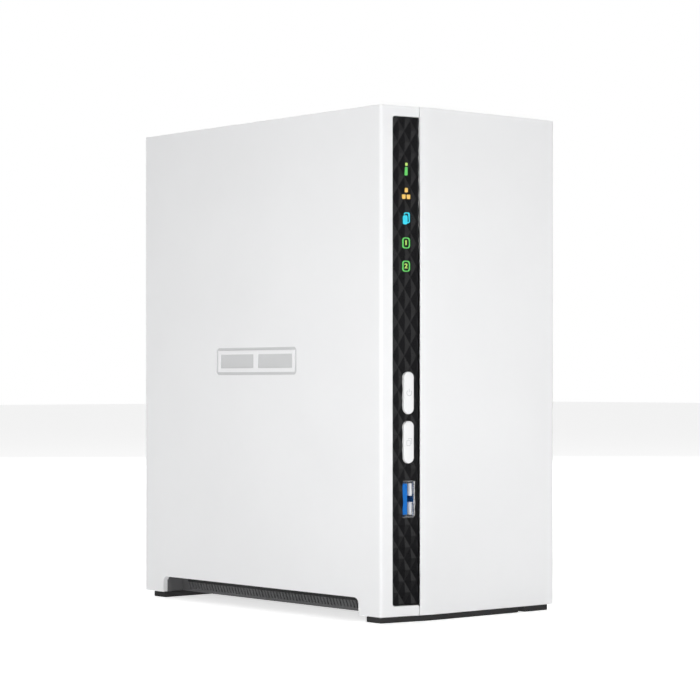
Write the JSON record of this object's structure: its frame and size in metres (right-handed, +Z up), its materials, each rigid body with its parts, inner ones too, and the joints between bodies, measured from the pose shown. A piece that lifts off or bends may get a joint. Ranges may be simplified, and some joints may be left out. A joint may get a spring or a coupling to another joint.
{
  "type": "network attached storage",
  "caption": "Upright desktop storage server: two white covers over a drive cage, a faceted dark front strip with lights, push buttons and a USB port, and a fan and ports at the rear.",
  "frame": {"origin": "on the surface it stands on, under the middle of its width and overall depth", "axes": "+Z up, -Y towards the front face, +X towards the viewer's right when facing the front"},
  "size_m": [0.086, 0.1542, 0.1886],
  "materials": {
    "cover_white": "fine satin",
    "strip_black": "gloss, faceted",
    "dark_plastic": "fine matte",
    "foot_rubber": "matte",
    "clear_plastic": "clear moulding",
    "usb_blue": "semi-gloss",
    "insert_white": "semi-gloss",
    "cage_steel": "galvanised sheet",
    "plated_steel": "nickel plated",
    "panel_painted": "powder coat",
    "cast_aluminium": "cast, matte",
    "board_green": "solder mask",
    "chip_black": "moulded package",
    "heatsink": "anodised",
    "contact_gold": "gold plated"
  },
  "bodies": {
    "case": {"left_cover": "cover_white", "base_tub": "dark_plastic", "foot_front_long": "foot_rubber", "foot_front_short": "foot_rubber", "foot_rear_long": "foot_rubber", "foot_rear_short": "foot_rubber", "front_strip": "strip_black", "light_guide": "clear_plastic", "front_board": "board_green", "power_switch": "plated_steel", "copy_switch": "plated_steel", "front_usb_shell": "plated_steel", "front_usb_tongue": "usb_blue", "drive_cage": "cage_steel", "drive_screw_1": "plated_steel", "drive_screw_2": "plated_steel", "drive_screw_3": "plated_steel", "drive_screw_4": "plated_steel", "drive_1_casting": "cast_aluminium", "drive_1_lid": "plated_steel", "drive_1_board": "board_green", "drive_2_casting": "cast_aluminium", "drive_2_lid": "plated_steel", "drive_2_board": "board_green", "sata_backplane": "board_green", "sata_socket_1": "chip_black", "sata_socket_2": "chip_black", "mainboard": "board_green", "processor": "chip_black", "heatsink": "heatsink", "memory_chip_1": "chip_black", "memory_chip_2": "chip_black", "flash_chip": "chip_black", "lan_transformer": "chip_black", "clock_battery": "plated_steel", "power_capacitor": "heatsink", "board_link": "chip_black", "rear_usb_shell_1": "plated_steel", "rear_usb_shell_2": "plated_steel", "rear_usb_tongue_1": "insert_white", "rear_usb_tongue_2": "insert_white", "lan_jack": "plated_steel", "lan_contacts": "contact_gold", "power_jack": "chip_black", "reset_switch": "plated_steel", "fan_frame": "dark_plastic", "rear_panel": "panel_painted", "fan_screw_1": "plated_steel", "fan_screw_2": "plated_steel", "fan_screw_3": "plated_steel", "fan_screw_4": "plated_steel"},
    "right_cover": {"right_cover": "cover_white"},
    "power_button": {"power_button": "cover_white", "power_plunger": "chip_black"},
    "copy_button": {"copy_button": "cover_white", "copy_plunger": "chip_black"},
    "reset_button": {"reset_button": "insert_white"},
    "fan_rotor": {"fan_rotor": "dark_plastic"},
    "thumbscrew_lower": {"thumbscrew_lower": "plated_steel"},
    "thumbscrew_upper": {"thumbscrew_upper": "plated_steel"}
  },
  "joints": [
    {"name": "right_cover_slide", "type": "slide", "parent": "case", "child": "right_cover", "axis": [0, -1, 0], "range_m": [0, 0.16]},
    {"name": "power_button_press", "type": "slide", "parent": "case", "child": "power_button", "axis": [0.1666, 0.986, 0], "range_m": [0, 0.0008], "stiffness_N_per_m": 350, "springref_m": -0.0012},
    {"name": "copy_button_press", "type": "slide", "parent": "case", "child": "copy_button", "axis": [0.1666, 0.986, 0], "range_m": [0, 0.0008], "stiffness_N_per_m": 350, "springref_m": -0.0012},
    {"name": "reset_button_press", "type": "slide", "parent": "case", "child": "reset_button", "axis": [0, -1, 0], "range_m": [0, 0.0006], "stiffness_N_per_m": 300, "springref_m": -0.001},
    {"name": "fan_spin", "type": "hinge", "parent": "case", "child": "fan_rotor", "pos_m": [0, 0.0578, 0.1395], "axis": [0, 1, 0], "continuous": true},
    {"name": "thumbscrew_lower_turn", "type": "hinge", "parent": "case", "child": "thumbscrew_lower", "pos_m": [0.0369, 0.0745, 0.024], "axis": [0, 1, 0], "continuous": true},
    {"name": "thumbscrew_upper_turn", "type": "hinge", "parent": "case", "child": "thumbscrew_upper", "pos_m": [0.0369, 0.0745, 0.091], "axis": [0, 1, 0], "continuous": true}
  ]
}
